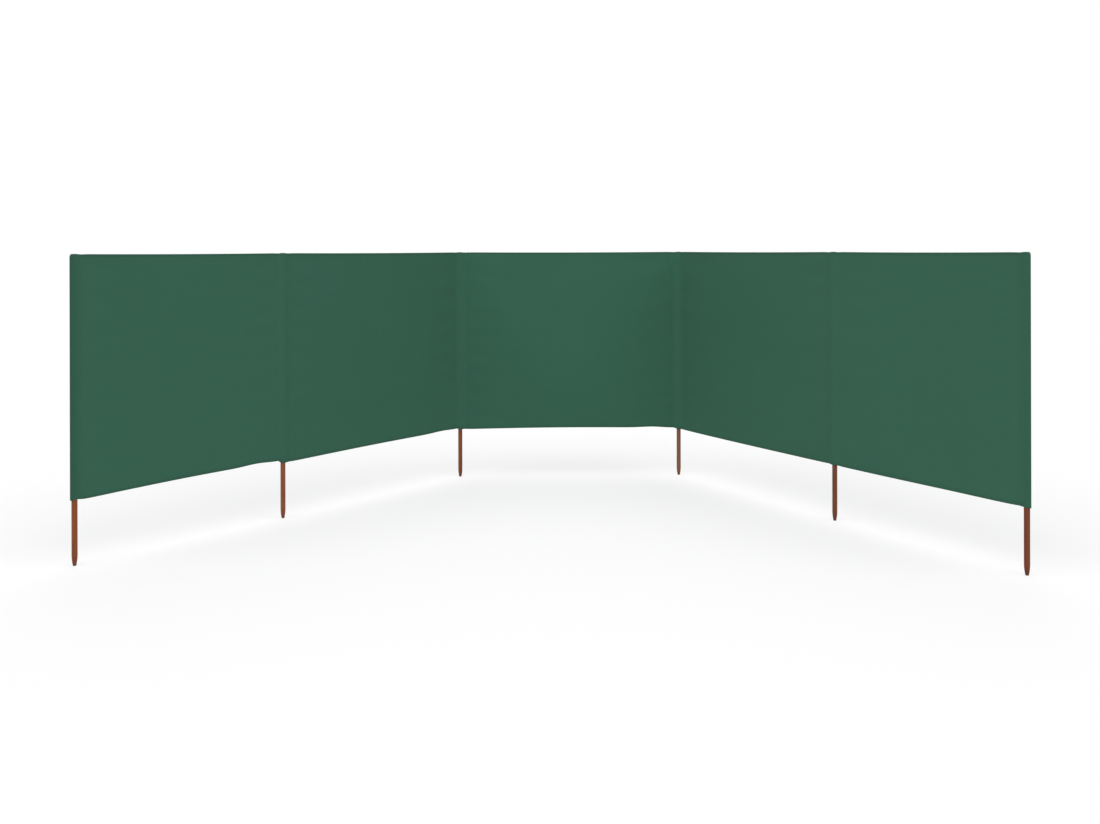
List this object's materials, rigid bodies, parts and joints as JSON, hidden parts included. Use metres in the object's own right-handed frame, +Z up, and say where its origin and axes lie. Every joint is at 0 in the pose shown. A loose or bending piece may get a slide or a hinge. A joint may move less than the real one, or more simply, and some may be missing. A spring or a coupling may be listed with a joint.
{
  "type": "beach windbreak",
  "caption": "Windbreak of green cloth bays hung in sewn pockets on round stained wooden poles with rounded points, set in a bent line round a sheltered space.",
  "frame": {"origin": "Centre of the flat foot of pole 3, the left pole of the centre bay seen from the sheltered side.", "axes": "+Z is up. +X runs along the centre bay from pole 3 to pole 4. The sheltered side faces -Y."},
  "size_m": [3.6251, 1.9198, 1.2006],
  "materials": {
    "pole_wood": "brown wood stain, satin",
    "bay_cloth": "plain woven polyester, matt",
    "sewn_cloth": "plain woven polyester in layers, stitched"
  },
  "bodies": {
    "centre_bay": {"bay_cloth_3": "bay_cloth", "top_hem_3": "sewn_cloth", "bottom_hem_3": "sewn_cloth", "pole_3": "pole_wood", "pole_pocket_3": "sewn_cloth", "pole_4": "pole_wood", "pole_pocket_4": "sewn_cloth"},
    "left_inner_bay": {"bay_cloth_2": "bay_cloth", "top_hem_2": "sewn_cloth", "bottom_hem_2": "sewn_cloth", "pole_2": "pole_wood", "pole_pocket_2": "sewn_cloth"},
    "left_end_bay": {"bay_cloth_1": "bay_cloth", "top_hem_1": "sewn_cloth", "bottom_hem_1": "sewn_cloth", "pole_1": "pole_wood", "pole_pocket_1": "sewn_cloth"},
    "right_inner_bay": {"bay_cloth_4": "bay_cloth", "top_hem_4": "sewn_cloth", "bottom_hem_4": "sewn_cloth", "pole_5": "pole_wood", "pole_pocket_5": "sewn_cloth"},
    "right_end_bay": {"bay_cloth_5": "bay_cloth", "top_hem_5": "sewn_cloth", "bottom_hem_5": "sewn_cloth", "pole_6": "pole_wood", "pole_pocket_6": "sewn_cloth"}
  },
  "joints": [
    {"name": "left_inner_swing", "type": "hinge", "parent": "centre_bay", "child": "left_inner_bay", "pos_m": [0, 0, 0.6], "axis": [0, 0, 1], "range_deg": [-125, 25]},
    {"name": "left_end_swing", "type": "hinge", "parent": "left_inner_bay", "child": "left_end_bay", "pos_m": [-0.75528, -0.9001, 0.6], "axis": [0, 0, 1], "range_deg": [-74, 76]},
    {"name": "right_inner_swing", "type": "hinge", "parent": "centre_bay", "child": "right_inner_bay", "pos_m": [1.175, 0, 0.6], "axis": [0, 0, -1], "range_deg": [-137, 13]},
    {"name": "right_end_swing", "type": "hinge", "parent": "right_inner_bay", "child": "right_end_bay", "pos_m": [1.72663, -1.03746, 0.6], "axis": [0, 0, -1], "range_deg": [-74, 76]}
  ]
}
